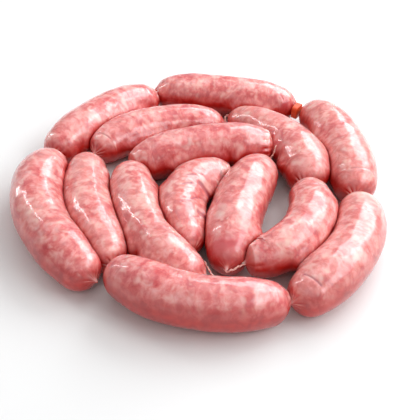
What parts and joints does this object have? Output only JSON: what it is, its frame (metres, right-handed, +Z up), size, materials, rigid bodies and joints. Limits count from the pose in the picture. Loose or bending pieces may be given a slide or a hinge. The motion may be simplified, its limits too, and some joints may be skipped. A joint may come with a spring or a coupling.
{
  "type": "string of raw sausage links",
  "caption": "Raw pork sausage links in thin glossy casing, joined by twisted casing and laid down flat in a loose spiral.",
  "frame": {"origin": "middle of the underside of the whole string's box", "axes": "+Z up from the table the string lies on; +Y runs the longer way across the spiral, towards the link that lies farthest back"},
  "size_m": [0.2678, 0.2818, 0.0391],
  "materials": {
    "sausage": "wet glossy casing over pink and cream minced pork",
    "casing": "empty twisted casing, wet and slightly see-through",
    "tie": "folded orange-red band"
  },
  "bodies": {
    "root": {"link_01": "sausage", "link_02": "sausage", "link_03": "sausage", "link_04": "sausage", "link_05": "sausage", "link_06": "sausage", "link_07": "sausage", "link_08": "sausage", "link_09": "sausage", "link_10": "sausage", "link_11": "sausage", "link_12": "sausage", "link_13": "sausage", "link_14": "sausage", "twist_01": "casing", "twist_02": "casing", "twist_03": "casing", "twist_04": "casing", "twist_05": "casing", "twist_06": "casing", "twist_07": "casing", "twist_08": "casing", "twist_09": "casing", "twist_10": "casing", "twist_11": "casing", "twist_12": "casing", "twist_13": "casing", "tie": "tie"}
  },
  "joints": []
}
